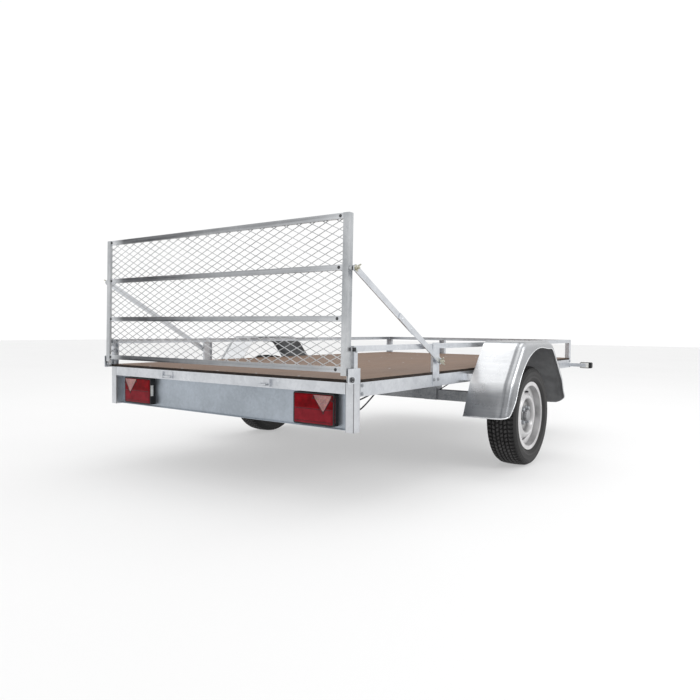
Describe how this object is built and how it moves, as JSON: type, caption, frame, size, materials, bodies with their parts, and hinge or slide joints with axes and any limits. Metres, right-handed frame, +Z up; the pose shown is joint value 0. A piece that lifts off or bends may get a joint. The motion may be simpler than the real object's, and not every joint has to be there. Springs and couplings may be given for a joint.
{
  "type": "utility trailer",
  "caption": "Flat single-axle utility trailer with a plywood bed, low side rails, steel-sheet mudguards and a tall mesh tailgate that folds down as a ramp.",
  "frame": {"origin": "on the ground under the middle of the whole trailer", "axes": "+Y forward to the coupling, +X to the right side, +Z up"},
  "size_m": [2.1, 4.063, 1.1688],
  "materials": {
    "galvanised": "satin",
    "zinc": "satin",
    "plywood": "satin",
    "tyre": "matte",
    "rim_paint": "satin",
    "fender_sheet": "satin",
    "black_plastic": "matte",
    "red_lens": "gloss"
  },
  "bodies": {
    "chassis": {"side_members": "galvanised", "cross_members": "galvanised", "rear_cross_member": "galvanised", "floor": "plywood", "rear_lower_posts": "galvanised", "lamp_board": "galvanised", "tail_lamp_housings": "black_plastic", "tail_lamp_lenses": "red_lens", "lashing_hooks": "galvanised", "rear_upper_posts": "galvanised", "mid_posts": "galvanised", "front_posts": "galvanised", "side_rails": "galvanised", "front_rail": "galvanised", "gate_brackets": "galvanised", "gate_catches": "black_plastic", "swing_arms": "zinc", "axle_beam": "zinc", "axle_hangers": "galvanised", "fender_right": "fender_sheet", "fender_left": "fender_sheet", "fender_straps": "galvanised", "drawbar_arms": "galvanised", "drawbar_nose": "galvanised", "coupling_head": "zinc", "coupling_handle": "black_plastic", "jockey_carrier": "galvanised", "jockey_outer_tube": "galvanised", "jockey_crank": "galvanised", "position_lamp_arms": "galvanised", "position_lamps": "black_plastic", "lamp_leads": "black_plastic"},
    "wheel_right": {"tyre_right": "tyre", "rim_right": "rim_paint", "hub_right": "zinc"},
    "wheel_left": {"tyre_left": "tyre", "rim_left": "rim_paint", "hub_left": "zinc"},
    "tailgate": {"gate_posts": "galvanised", "gate_rails": "galvanised", "gate_mesh": "galvanised"},
    "stay_right": {"stay_right": "galvanised"},
    "stay_left": {"stay_left": "galvanised"},
    "jockey_leg": {"jockey_inner_tube": "galvanised"},
    "jockey_fork": {"jockey_fork": "galvanised"},
    "jockey_wheel": {"jockey_tyre": "tyre", "jockey_rim": "black_plastic"}
  },
  "joints": [
    {"name": "wheel_right_spin", "type": "hinge", "parent": "chassis", "child": "wheel_right", "pos_m": [0.928, -0.6445, 0.268], "axis": [1, 0, 0], "continuous": true},
    {"name": "wheel_left_spin", "type": "hinge", "parent": "chassis", "child": "wheel_left", "pos_m": [-0.928, -0.6445, 0.268], "axis": [1, 0, 0], "continuous": true},
    {"name": "tailgate_fold", "type": "hinge", "parent": "chassis", "child": "tailgate", "pos_m": [0, -2.0115, 0.53], "axis": [1, 0, 0], "range_deg": [0, 140]},
    {"name": "stay_right_swing", "type": "hinge", "parent": "chassis", "child": "stay_right", "pos_m": [0.796, -1.3195, 0.578], "axis": [1, 0, 0], "range_deg": [0, 27]},
    {"name": "stay_left_swing", "type": "hinge", "parent": "chassis", "child": "stay_left", "pos_m": [-0.796, -1.3195, 0.578], "axis": [1, 0, 0], "range_deg": [0, 27]},
    {"name": "jockey_lift", "type": "slide", "parent": "chassis", "child": "jockey_leg", "axis": [0, 0, 1], "range_m": [0, 0.1]},
    {"name": "jockey_swivel", "type": "hinge", "parent": "jockey_leg", "child": "jockey_fork", "pos_m": [0, 1.4085, 0.222], "axis": [0, 0, 1], "continuous": true},
    {"name": "jockey_wheel_spin", "type": "hinge", "parent": "jockey_fork", "child": "jockey_wheel", "pos_m": [0, 1.3635, 0.1], "axis": [1, 0, 0], "continuous": true}
  ]
}
